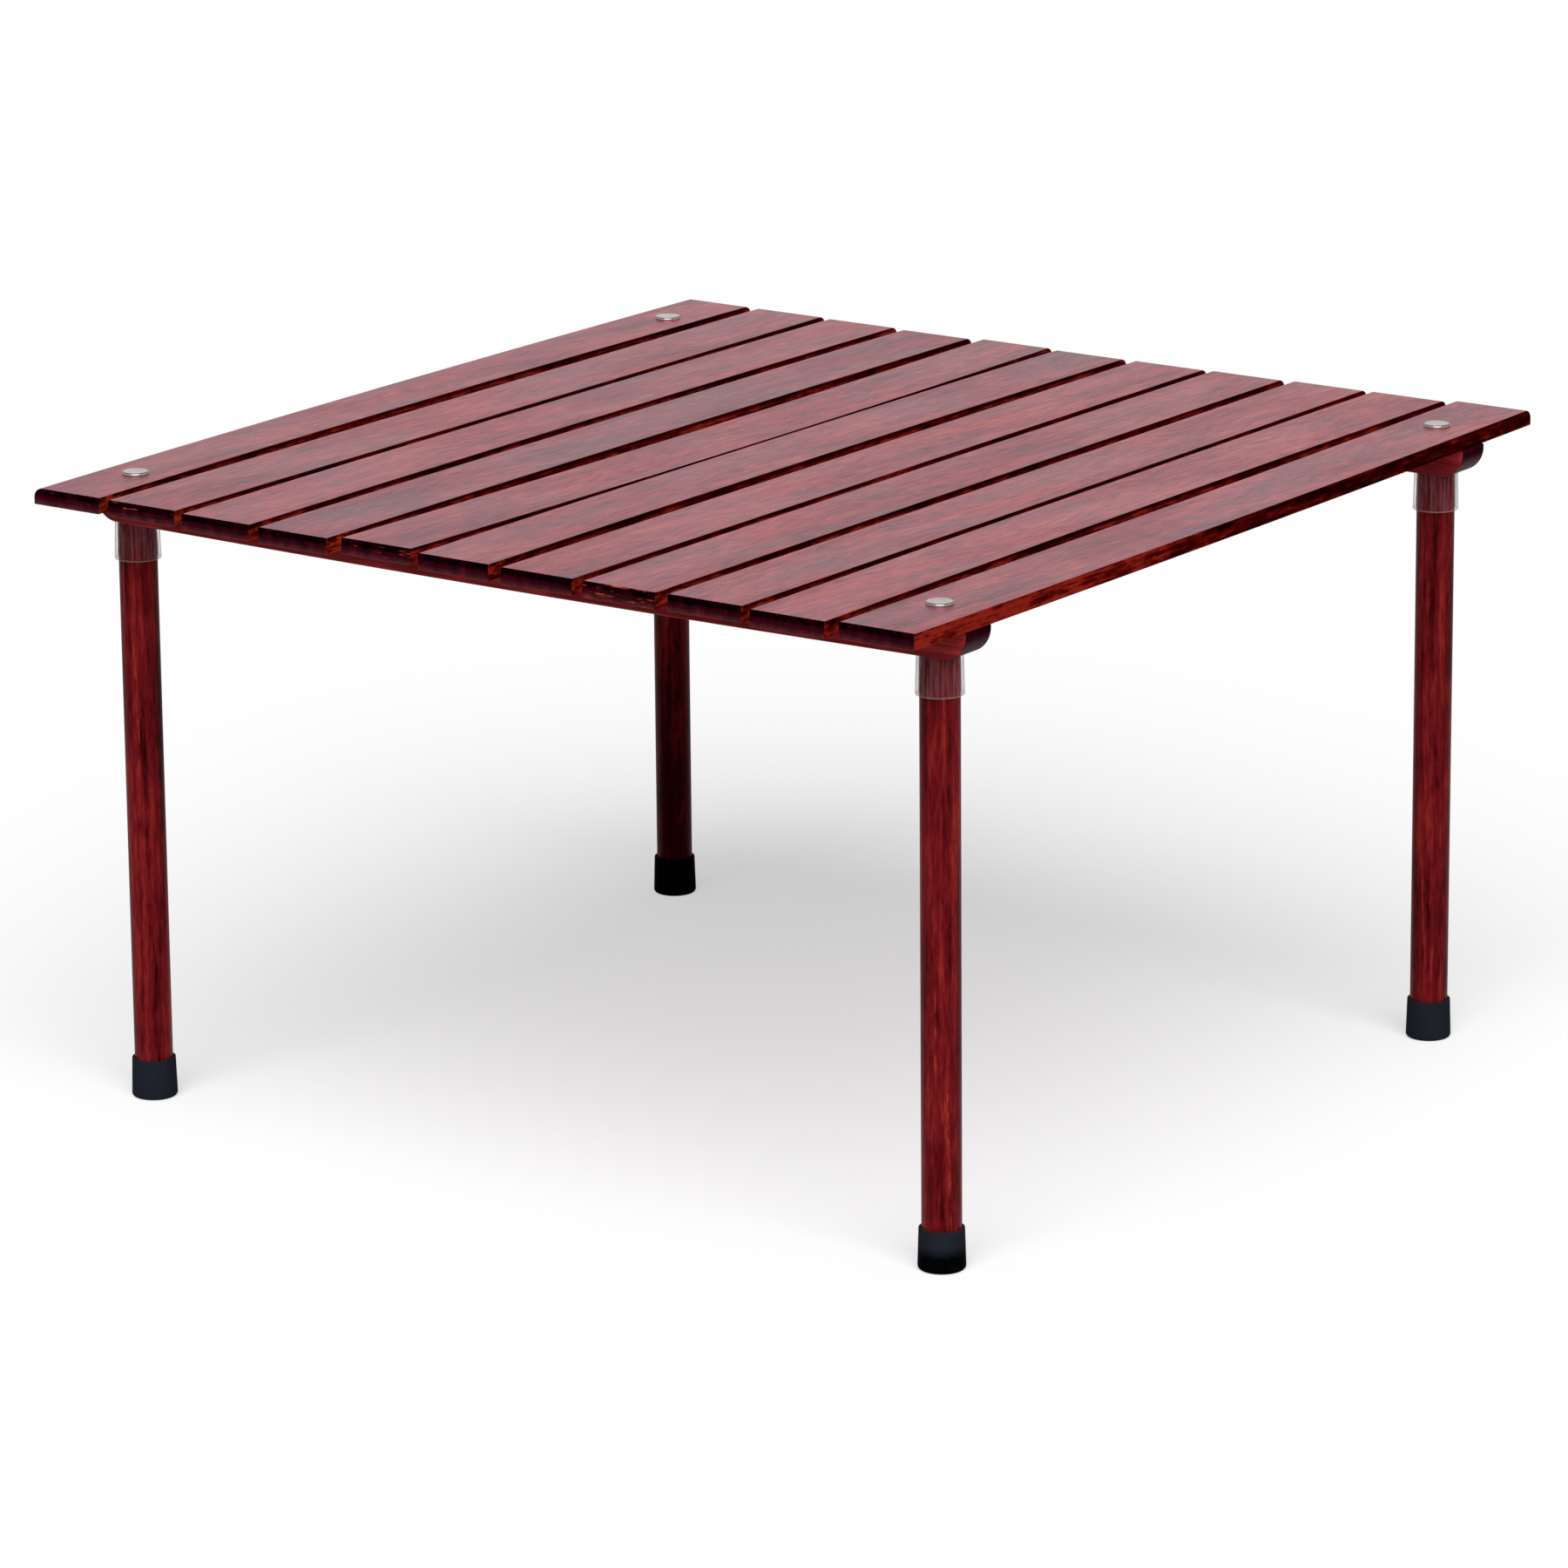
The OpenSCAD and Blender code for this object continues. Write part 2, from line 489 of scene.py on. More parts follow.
def waving_place(paint, axis, wander, slant):
    """The place in the wood, turned a little off the grain and straying from side to side along it."""
    turn = {"Vector": paint.place(), "Angle": slant}
    place = paint.node("ShaderNodeVectorRotate", {"rotation_type": "Z_AXIS"}, turn)
    stray = paint.noise(place, along_grain(axis, (4.5, 24)), output="Color")
    reach = {1: [0 if k == axis else wander for k in (X, Y, Z)], 2: [-wander / 2] * 3}
    moved = paint.node("ShaderNodeVectorMath", {"operation": "MULTIPLY_ADD"}, {0: stray, **reach})
    return paint.node("ShaderNodeVectorMath", {"operation": "ADD"}, {0: place, 1: moved})


def lacquered(name, colours, **more):
    """A new material with the lacquer's shine, which is tinted unless it is seen at a low angle."""
    shine = {"Roughness": colours.rough, "Specular_IOR_Level": colours.gloss}
    return new_material(name, **shine, Specular_Tint=(*colours.glint, 1), **more)


def grain_tone(paint, place, axis, figure):
    """Tone of the grain about 0.5, from the cells of its patches, streaks and fibres; then the fibres."""
    patches, streaks, fibres = (along_grain(axis, cells) for cells in figure)
    soft = paint.noise(place, patches)
    lines = paint.noise(place, streaks, detail=4, rough=0.6)
    fine = paint.noise(place, fibres)
    return soft * 0.35 + lines * 0.4 + fine * 0.25, fine


def own_share(paint, name):
    """A share that a whole piece carries under a name, and 0 where it carries none."""
    return paint.node("ShaderNodeAttribute", {"attribute_name": name}, output="Fac")


def stain(paint, tone, colours):
    stops = [(0.38, colours.dark), (0.46, colours.deep), (0.54, colours.red), (0.64, colours.warm)]
    return paint.ramp(tone, stops)


def show_wood(paint, stained, fibres):
    """Feeds a wood's colour to its shader, and its fibres as a slight relief."""
    paint.show(Base_Color=stained)
    paint.show(Normal=paint.bump(fibres, 0.1, 0.2 * MM))


def slat_wood(colours):
    """Broad faces of the slats: fine slanting streaks, a stain of each slat's own and an uneven shine."""
    material, paint = lacquered("stained_slat", colours, Coat_Roughness=0.3)
    slant, wander = math.radians(4), 18 * MM
    place = waving_place(paint, X, wander, slant)
    tone, fibres = grain_tone(paint, place, X, ((8, 48), (24, 300), (60, 950)))
    patches = paint.noise(place, along_grain(X, (3, 14)), detail=2)
    own = own_share(paint, "tone")
    tone = 0.5 + tone.swing(1.2) + fibres.swing(0.25) + patches.swing(0.08) + own.swing(0.12)
    veil = paint.noise(place, along_grain(X, (7, 26)))
    show_wood(paint, stain(paint, tone, colours), fibres)
    paint.show(Coat_Weight=veil.rise(0.35, 0.65) * 0.15 + fibres.rise(0.42, 0.6) * 0.13)
    return material


def slat_side_wood(colours):
    """Long sides of the slats: patchy stain; the outer side paler towards its -X end; orange near the -X
    ends, partly rubbed stain and partly painted light; painted shade along the top of the walls between
    slats.
    """
    material, paint = lacquered("stained_slat_side", colours)
    place = paint.place()
    along, across, height = (paint.part(place, axis) for axis in (X, Y, Z))
    tone, fibres = grain_tone(paint, place, X, ((12, 160), (24, 420), (70, 900)))
    half = size(MID_SLAT).x / 2
    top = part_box(MID_SLAT)[1][Z]
    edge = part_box(numbered("slat", SLATS[-1]))[0][Y]
    outer = across.rise(edge + 20 * MM, edge + 10 * MM)
    # The outer side is paler towards its -X end and darker towards its +X end
    paler_near_end = along.rise(half * 0.5, -half) * 0.17
    # Orange near the -X ends, half as strong on the outer side: partly rubbed stain, partly painted light
    # where light reaches into the gaps between slats
    rub_and_light = along.rise(45 * MM - half, 5 * MM - half) * paint.noise(place, [3, 14, 3]).rise(0.35, 0.6)
    mottle = paint.noise(place, [75, 60, 240], detail=4, rough=0.6)
    worn = rub_and_light * mottle.rise(0.42, 0.64) * (1 - outer * 0.5)
    # Painted shade: the top 3 mm of the walls between slats is darkened, fading out towards the +X end
    shade = height.rise(top - 3 * MM, top - 1.2 * MM) * along.rise(half - 4 * MM, half - 20 * MM)
    # The walls between slats and the outer side get tone offsets of their own, painted for how differently
    # light falls on them
    tone = tone + mottle.swing(0.45) + outer * (paler_near_end - 0.055) + (1 - outer) * (0.03 - shade * 0.12)
    show_wood(paint, paint.mix(worn, stain(paint, tone, colours), colours.worn), fibres)
    return material


def end_wood(name, node, colours, top_shade, sheen):
    """End grain stained nearly black, with worn streaks, a pale lower edge and a sheen low down.

    The upper half is darkened by the given amount as painted shade. The sheen's strength comes first, then
    the levels between which it grows, from 0 at the foot to 1 at the top; it shines from the coat and is
    painted into the colour too.
    """
    material, paint = lacquered(name, colours, Coat_Roughness=0.25)
    strength, start, end = sheen
    place = paint.place()
    low, high = (face[Z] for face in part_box(node))
    level = (paint.part(place, Z) - low) * (1 / (high - low))
    soak = paint.noise(place, [150, 150, 110], detail=4, rough=0.6)
    # Painted shade darkens the upper part; a painted sheen lightens the colour low down, where the coat
    # shines as well
    tone = 0.22 + soak * 0.5 - level.rise(0.5, 0.72) * top_shade + level.rise(start, end) * strength * 0.35
    stained = paint.ramp(tone, [(0.25, colours.dark), (0.5, colours.deep), (0.66, colours.red)])
    streaks = paint.noise(place, [60, 60, 700], detail=5, rough=0.7)
    worn = (streaks + own_share(paint, "wear") * 0.12).rise(0.68, 0.76)
    pale = level.rise(0.1, 0.04) * 0.18
    paint.show(Base_Color=paint.mix(worn.largest(pale), stained, colours.warm))
    paint.show(Coat_Weight=level.rise(start, end) * strength)
    paint.show(Normal=paint.bump(soak, 0.05, 0.2 * MM))
    return material


def rail_wood(colours):
    """Rails: streaks along their length."""
    material, paint = lacquered("stained_rail", colours)
    place = waving_place(paint, Y, 8 * MM, 0.0)
    tone, fibres = grain_tone(paint, place, Y, ((5, 60), (10, 240), (40, 900)))
    show_wood(paint, stain(paint, tone, colours), fibres)
    return material


def dowel_wood(colours):
    """Leg wood: blotched stain, with upright orange streaks, partly rubbed stain and partly painted
    highlight, unless the foot end is dark; each leg's tone runs from its top to its foot, painted shade on
    the back leg.
    """
    material, paint = lacquered("stained_dowel", colours)
    place = waving_place(paint, Z, 5 * MM, 0.0)
    tone, fibres = grain_tone(paint, place, Z, ((14, 80), (7, 190), (80, 500)))
    # Upright orange streaks: partly rubbed stain, partly painted highlight of the lacquer
    rub_and_light = paint.noise(place, [300, 300, 6], rough=0.6)
    specks = paint.noise(place, [500, 500, 90])
    top_tone, foot_tone = own_share(paint, "top_tone"), own_share(paint, "foot_tone")
    worn = rub_and_light.rise(0.58, 0.74) * specks.rise(0.38, 0.66) * foot_tone.rise(0.1, 0.4) * 0.62
    foot, top = (face[Z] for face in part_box("leg_1"))
    # Tone from the leg's top to its foot; the back leg's fall to black is painted shade
    own = top_tone + (foot_tone - top_tone) * paint.part(place, Z).rise(top, foot)
    tone = 0.5 + tone.swing(1.2) + own.swing(0.24)
    show_wood(paint, paint.mix(worn, stain(paint, tone, colours), colours.worn), fibres)
    return material


def woven_strap(colours):
    """Black webbing: two sets of yarns that pass over and under each other."""
    material, paint = new_material("webbing", Roughness=0.8, Specular_IOR_Level=0.25)
    place = paint.place()
    across, along = paint.part(place, X), paint.part(place, Y)
    yarns = across.wave(2.4 * MM) * along.wave(3.0 * MM)
    ribs = across.wave(1.2 * MM) * 0.4 + along.wave(1.5 * MM) * 0.4
    fuzz = paint.noise(place, [900, 900, 900])
    height = yarns * 0.5 + ribs + fuzz * 0.3
    # Painted shade and light: darker where the weave is low, between the yarns, paler on their tops
    lit_and_shaded_yarn = paint.mix(height * 0.5 + 0.4, colours.webbing_shade_low, colours.webbing_lit_high)
    paint.show(Base_Color=lit_and_shaded_yarn)
    paint.show(Normal=paint.bump(height, 0.5, 0.25 * MM))
    return material


def plated_steel(name, colour, rough, streaks):
    """Plated steel with fine marks; streaks are the marks' cells to a metre."""
    material, paint = new_material(name, Metallic=1.0)
    place = paint.place()
    marks = paint.noise(place, streaks, detail=4)
    bloom = paint.noise(place, [220, 220, 220])
    dull = tuple(0.82 * c for c in colour)
    paint.show(Base_Color=paint.mix(bloom.rise(0.35, 0.7), colour, dull))
    paint.show(Roughness=rough + marks.swing(0.16))
    paint.show(Normal=paint.bump(marks, 0.05, 0.05 * MM))
    return material


def clear_vinyl(colours):
    """Clear flexible tube with milky blotches and streaks, paler at its lower rim and at its edges;
    the edges are partly the milky wall seen edge-on and partly painted sheen.
    """
    material, paint = new_material("clear_sleeve", Roughness=0.16, Specular_IOR_Level=0.15)
    place = paint.place()
    blotches = paint.noise(place, [120, 120, 60], detail=4)
    streaks = paint.noise(place, [520, 520, 24], detail=4)
    milky = blotches.rise(0.4, 0.7) * 0.16 + streaks.rise(0.48, 0.6) * 0.4
    # Paler towards the edges: partly the milky wall seen edge-on, partly painted sheen
    edge = paint.node("ShaderNodeLayerWeight", None, {"Blend": 0.5}, "Facing").rise(0.45, 0.95)
    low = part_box("leg_sleeve_1")[0][Z]
    rim = paint.part(place, Z).rise(low + 0.9 * MM, low + 0.4 * MM) * 0.5
    pale = edge.largest(rim)
    paint.show(Base_Color=paint.mix(pale, colours.vinyl, colours.vinyl_edge_and_sheen))
    paint.show(Alpha=0.05 + milky.largest(pale * 0.65))
    paint.show(Normal=paint.bump(streaks, 0.12, 0.2 * MM))
    return material


def foot_rubber(colours, height):
    """Matt moulded rubber of a foot so high, scuffed paler above what is black."""
    material, paint = new_material("foot_rubber", Specular_IOR_Level=0.004)
    place = paint.place()
    scuffs = paint.noise(place, [140, 140, 60], detail=5, rough=0.65)
    pores = paint.noise(place, [1500, 1500, 1500])
    level = paint.part(place, Z) * (1 / height)
    # Black from the foot's bottom as far up as its share says; the back foot's all-over black is painted
    # shade
    pale = (level - own_share(paint, "black") * 1.4).rise(-0.39, -0.01) * 0.9 + (scuffs - 0.55) * 0.5
    paint.show(Base_Color=paint.mix(pale, colours.rubber, colours.rubber_pale))
    paint.show(Roughness=0.62 + scuffs.swing(0.3))
    paint.show(Normal=paint.bump(pores + scuffs, 0.12, 0.15 * MM))
    return material


# Sizes and colours that a user would change

def length(name, description, mm):
    return FloatProperty(name=name, description=description, default=mm * MM, unit="LENGTH")


def angle(name, description, degrees):
    return FloatProperty(name=name, description=description, default=math.radians(degrees), unit="ROTATION")


def portion(name, description, default):
    return FloatProperty(name=name, description=description, default=default, min=0, max=1)


def count(name, description, default):
    return IntProperty(name=name, description=description, default=default, min=2)


def colour(name, description, default):
    limits = {"subtype": "COLOR", "min": 0, "max": 1}
    return FloatVectorProperty(name=name, description=description, default=default, **limits)


def dark_body(default):
    return colour("Deep", "Dark body of the stain", default)


def light_body(default):
    return colour("Red", "Light body of the stain", default)


def gloss_of(default):
    return portion("Gloss", "Strength of the lacquer's shine", default)


class Lacquer:
    """Shine that all the wood has."""

    glint: colour("Glint", "Tint of the lacquer's shine seen straight on", (1.0, 0.16, 0.12))
    rough: portion("Roughness", "How matt the lacquer is", 0.38)


class SlatFinish(Lacquer, bpy.types.PropertyGroup):
    """Stain and lacquer of the slats' broad faces."""

    dark: colour("Dark", "Darkest streaks of the grain", (0.06, 0.006, 0.022))
    deep: dark_body((0.135, 0.006, 0.023))
    red: light_body((0.205, 0.01, 0.028))
    warm: colour("Warm", "Palest streaks of the grain", (0.33, 0.034, 0.041))
    gloss: gloss_of(0.33)


class SideFinish(Lacquer, bpy.types.PropertyGroup):
    """Stain and lacquer of the slats' long sides."""

    dark: colour("Dark", "Darkest patches", (0.012, 0.0002, 0.0003))
    deep: dark_body((0.04, 0.0007, 0.0007))
    red: light_body((0.10, 0.003, 0.0025))
    warm: colour("Warm", "Palest patches", (0.28, 0.018, 0.01))
    # Orange near the -X ends: partly rubbed stain, partly painted light that reaches into the gaps
    worn: colour("Worn", "Wood near the ends, where the stain is rubbed thin", (0.48, 0.042, 0.014))
    gloss: gloss_of(0.0)


class EndFinish(Lacquer, bpy.types.PropertyGroup):
    """Stain and lacquer of the ends of slats and rails."""

    # Darkest end grain, which the painted shade on the ends' upper part also reaches
    dark: colour("Dark", "Stain soaked deep into the end grain", (0.003, 0.0002, 0.0006))
    deep: dark_body((0.035, 0.002, 0.007))
    red: light_body((0.11, 0.008, 0.016))
    warm: colour("Warm", "Worn streaks and edges", (0.45, 0.07, 0.025))
    gloss: gloss_of(0.0)


class RailFinish(Lacquer, bpy.types.PropertyGroup):
    """Stain and lacquer of the cross rails."""

    dark: colour("Dark", "Darkest streaks of the grain", (0.11, 0.007, 0.01))
    deep: dark_body((0.21, 0.014, 0.018))
    red: light_body((0.3, 0.025, 0.028))
    warm: colour("Warm", "Palest streaks of the grain", (0.46, 0.055, 0.046))
    gloss: gloss_of(0.08)


class LegFinish(Lacquer, bpy.types.PropertyGroup):
    """Stain and lacquer of the legs."""

    dark: colour("Dark", "Darkest blotches", (0.02, 0.0006, 0.0012))
    deep: dark_body((0.085, 0.004, 0.006))
    red: light_body((0.15, 0.008, 0.011))
    warm: colour("Warm", "Palest blotches", (0.26, 0.02, 0.017))
    # Orange streaks on the legs: partly rubbed stain, partly painted highlight
    worn: colour("Worn", "Streaks where the stain is rubbed thin", (0.52, 0.06, 0.028))
    gloss: gloss_of(0.035)


class OtherFinish(bpy.types.PropertyGroup):
    """Colours of the pieces that aren't wood."""

    # The webbing's two colours follow the weave's height: painted shade between the yarns, painted light on
    # their tops
    webbing_shade_low: colour("Webbing, low", "Webbing between its yarns", (0.006, 0.006, 0.007))
    webbing_lit_high: colour("Webbing, high", "Webbing on top of its yarns", (0.035, 0.035, 0.04))
    wire: colour("Staple wire", "Galvanised wire", (0.5, 0.5, 0.48))
    nickel: colour("Nickel", "Plate on the cap nuts", (0.38, 0.335, 0.325))
    # A dark ring painted on the nuts' rims as a reflection
    nickel_rim_dark_reflection: colour("Nickel rim", "Plate on the cap nuts' rims", (0.085, 0.075, 0.07))
    zinc: colour("Zinc", "Plate on the studs", (0.55, 0.55, 0.53))
    vinyl: colour("Vinyl", "Clear tube seen straight on", (0.26, 0.075, 0.09))
    # Edge colour: partly the milky wall seen edge-on, partly painted sheen
    vinyl_edge_and_sheen: colour("Vinyl edge", "Clear tube seen at its edges", (0.6, 0.47, 0.46))
    # Black rubber, which on the back foot is painted shade
    rubber: colour("Rubber", "Foot where it is black", (0.0008, 0.0008, 0.0012))
    rubber_pale: colour("Scuffed rubber", "Foot where it is scuffed", (0.0165, 0.0185, 0.027))


class TableSizes(bpy.types.PropertyGroup):
    """Edges and details that the frame's solids leave plain."""

    slat_near: length("Slat, near end", "Radius of the top edge at the slats' -X ends", 1.5)
    slat_far: length("Slat, far end", "Radius of the top edge at +X ends and the first slat's side", 6)
    slat_ease: length("Slat edge", "Radius of a slat's other edges", 0.5)
    rail_trim: length("Rail trim", "How much shorter the rails are on the first slat's side", 5)
    slat_columns: count("Slat columns", "Lengths that a slat bends in", 24)
    rail_columns: count("Rail columns", "Lengths that a rail bends in", 20)
    strap_columns: count("Strap columns", "Lengths that a strap bends in from slat to slat", 49)
    rail_end: length("Rail end", "Radius of a rail's lower corners", 17)
    rail_ease: length("Rail edge", "Radius of a rail's other edges", 1.2)
    strap_ease: length("Strap edge", "Radius of the webbing's edges", 0.4)
    strap_bend: length("Strap bend", "Length of webbing that bends at a fold", 9)
    nut_rim: length("Nut rim", "Radius of a cap nut's rim", 1.2)
    nut_barrel: length("Nut barrel", "Diameter of a cap nut's barrel", 9)
    stud: length("Stud", "Outer diameter of a stud's thread", 6)
    thread_pitch: length("Thread pitch", "Rise of the thread in one turn", 1)
    thread_ridge: length("Thread ridge", "Height of the thread above the stud's core", 0.42)
    nut_gap: length("Nut gap", "Room round a cap nut's barrel, and round the thread in it", 0.1)
    rail_gap: length("Rail gap", "Room round a stud in its rail", 0.5)
    close_gap: length("Close gap", "Room round a stud in its leg, and round a leg in its sleeve", 0.05)
    sleeve_flare: length("Sleeve flare", "How much wider a sleeve's radius is at its lower end", 0.7)
    leg_ease: length("Leg edge", "Radius at the ends of a leg", 0.8)
    foot_height: length("Foot height", "How far a foot reaches up its leg", 26.6)
    foot_round: length("Foot edge", "Radius of a foot's lower edge", 2.5)
    wire_ease: length("Wire edge", "Radius of a staple's edges", 0.35)


class StageSettings(bpy.types.PropertyGroup):
    """Camera and light."""

    camera_place: FloatVectorProperty(
        name="Camera", description="Where it stands", default=(-3.956, -2.8243, 1.5269), unit="LENGTH"
    )
    heading: angle("Heading", "Turn of the view from +X towards +Y", 35.6)
    pitch: angle("Pitch", "How far the view looks down", 15.345)
    roll: angle("Roll", "Turn of the camera about its view", -0.51)
    lens: FloatProperty(name="Lens", description="Focal length in mm for a 36 mm sensor", default=176.7)
    sky: portion("Sky", "Even light from all round", 0.16)
    key: FloatProperty(name="Key light", description="Strength of the soft light in front", default=3.4)
    key_height: angle("Key height", "Key light above the horizon", 50)
    key_spread: angle("Key spread", "How wide the key light looks", 60)
    floor_grey: portion("Floor grey", "Shade of the floor without its glow", 0.53)
    floor_glow: portion("Floor glow", "White that the floor adds to its shade", 0.49)


class CampTable(bpy.types.PropertyGroup):
    """All settings of the table."""

    slat_wood: PointerProperty(type=SlatFinish)
    slat_side_wood: PointerProperty(type=SideFinish)
    end_wood: PointerProperty(type=EndFinish)
    rail_wood: PointerProperty(type=RailFinish)
    leg_wood: PointerProperty(type=LegFinish)
    other: PointerProperty(type=OtherFinish)
    sizes: PointerProperty(type=TableSizes)
    stage: PointerProperty(type=StageSettings)


# Pieces

def bow_of(k, s):
    """Sideways shift of slat k, in a smooth curve from s = -1 at its near end to s = 1 at its far end."""
    near, mid, far = (MM * shift for shift in SLAT_LIE[k][:3])
    return mid + s * (far - near) / 2 + s * s * ((near + far) / 2 - mid)


class Builder:
    """What all operators share: they build something with the table's settings."""

    def execute(self, context):
        self.build(context.scene.camp_table)
        return {"FINISHED"}


class BuildSlats(Builder, bpy.types.Operator):
    """Models the slats of the top, each with its own bow, and bores the outer ones for the cap nuts"""

    bl_idname = "camp_table.build_slats"
    bl_label = "Slats"

    def straight_slat(self, sizes, woods, round_side):
        """A slat whose top edge is round at the far end and, if wanted, along its +Y side."""
        at, across = middle(MID_SLAT), size(MID_SLAT)
        top, half, side_y = at.z + across.z / 2, across.x / 2, at.y + across.y / 2
        slat = start_block("slat_pattern", at, across, woods)

        def far_or_side(e):
            at_far = runs_along(e, Y) and abs(centre_of(e).x - half) < MM
            at_side = round_side and runs_along(e, X) and abs(centre_of(e).y - side_y) < MM
            return abs(centre_of(e).z - top) < MM and (at_far or at_side)

        def near_top(e):
            across_end = abs(e.verts[1].co.y - e.verts[0].co.y) > TOUCH and centre_of(e).z > at.z - MM
            down_side = round_side and abs(centre_of(e).y - side_y) < TOUCH
            return abs(centre_of(e).x + half) < TOUCH and (across_end or down_side)

        def on_end(f):
            at_near = f.normal.x < -0.1 and centre_of(f).x < sizes.slat_near - half
            return f.normal.x > 0.6 or at_near

        with editing(slat):
            split_along(X, sizes.slat_columns)
            pick("edges", far_or_side)
            round_edges(sizes.slat_far, 7)
            pick("edges", near_top)
            round_edges(sizes.slat_near, 4)
            round_sharp_edges(sizes.slat_ease, 3)
            side, end = 1, 2
            paint_faces(side, lambda f: abs(f.normal.y) > 0.5)
            paint_faces(end, on_end)
        return slat

    def lay(self, slat, k):
        """Bows a slat, moves its ends to where they are and gives it its tone and wear."""
        half = size(MID_SLAT).x / 2
        near_out, far_out = (MM * shift for shift in SLAT_LIE[k][3:])
        bend(slat, X, lambda x: (0, bow_of(k, x / half), 0))
        with editing(slat, "VERT"):
            pick_all()
            stretch = 1 + (far_out - near_out) / (2 * half)
            bpy.ops.transform.resize(value=(stretch, 1, 1), center_override=(0, 0, 0))
            bpy.ops.transform.translate(value=((near_out + far_out) / 2, 0, 0))
        mark(slat, "tone", SLAT_TONE[k])
        mark(slat, "wear", SLAT_WEAR.get(k, 0))

    def build(self, table):
        # End grain of the slats: 0.2 of painted shade on the upper part, then a sheen low down that is
        # partly painted
        end = end_wood("stained_slat_end", MID_SLAT, table.end_wood, 0.2, (0.2, 0.45, 0.1))
        woods = (slat_wood(table.slat_wood), slat_side_wood(table.slat_side_wood), end)
        pattern = self.straight_slat(table.sizes, woods, round_side=False)
        first = self.straight_slat(table.sizes, woods, round_side=True)
        for k in SLATS:
            node = numbered("slat", k)
            source = first if k == SLATS[0] else pattern
            slat = copy_of(source, numbered("stained_slat", k), middle(node) - middle(MID_SLAT))
            self.lay(slat, k)
            make_holes(slat, node, "cap_nut", table.sizes.nut_barrel / 2 + table.sizes.nut_gap)
            dress_rider(slat, woods[0], node)
            flatten_faces(slat)
        for source in (pattern, first):
            bpy.data.objects.remove(source)


class BuildStraps(Builder, bpy.types.Operator):
    """Models both webbing straps from slat to slat, so that they bend at every gap"""

    bl_idname = "camp_table.build_straps"
    bl_label = "Straps"

    def build(self, table):
        webbing = woven_strap(table.other)
        low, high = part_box("strap_06")
        thick = high[Z] - low[Z]
        width = 25 * MM
        lanes = (low[X] + width / 2, high[X] - width / 2)
        for k in SLATS[:-1]:
            here, there = numbered("strap", k), numbered("strap", k + 1)
            y_here, y_there = (middle(numbered("slat", slat)).y for slat in (k, k + 1))
            last = k + 1 == SLATS[-1]
            y_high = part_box(here)[1][Y] if k == SLATS[0] else y_here
            y_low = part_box(there)[0][Y] if last else y_there
            runs = []
            for lane in lanes:
                at = (lane, (y_low + y_high) / 2, low[Z] + thick / 2)
                run = start_block("run", at, (width, y_high - y_low, thick))
                with editing(run):
                    pick("edges", lambda e: runs_along(e, Y))
                    round_edges(table.sizes.strap_ease, 2)
                    split_along(Y, table.sizes.strap_columns)
                runs.append(run)
            strap = join(numbered("webbing_strap", k), runs)
            dress(strap, webbing, [here, there] if last else [here])
            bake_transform(strap)


class BuildStaples(Builder, bpy.types.Operator):
    """Models the staples that hold the straps to the slats"""

    bl_idname = "camp_table.build_staples"
    bl_label = "Staples"

    def one_staple(self, sizes, at, crown, wire, height):
        staple = start_block("staple_pattern", at + Vector((0, 0, wire / 2)), (crown, wire, wire))
        inner = crown / 2 - wire
        with editing(staple, "FACE"):
            for side in (-1, 1):
                pick_all()
                cut = at + Vector((side * inner, 0, 0))
                bpy.ops.mesh.bisect(plane_co=cut, plane_no=(1, 0, 0))
            pick("faces", lambda f: f.normal.z > 0.9 and abs(centre_of(f).x - at.x) > inner)
            draw_up(height - wire)
            choose("EDGE")
            round_sharp_edges(sizes.wire_ease, 2)
        return staple

    def build(self, table):
        metal = plated_steel("staple_wire", table.other.wire, 0.38, [900, 300, 300])
        low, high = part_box("staples_06")
        crown, wire, pitch = 11 * MM, 1.2 * MM, 28 * MM
        lanes = (low[X] + crown / 2, high[X] - crown / 2)
        first = Vector((lanes[0], middle(MID_SLAT).y - pitch / 2, low[Z]))
        pattern = self.one_staple(table.sizes, first, crown, wire, high[Z] - low[Z])
        for k in SLATS:
            node = numbered("staples", k)
            home = middle(numbered("slat", k)).y - middle(MID_SLAT).y
            shifts = [Vector((lane - lanes[0], home + row * pitch, 0)) for lane in lanes for row in (0, 1)]
            copies = [copy_of(pattern, "staple", shift) for shift in shifts]
            staples = join(numbered("wire_staples", k), copies)
            dress_rider(staples, metal, node)
        bpy.data.objects.remove(pattern)


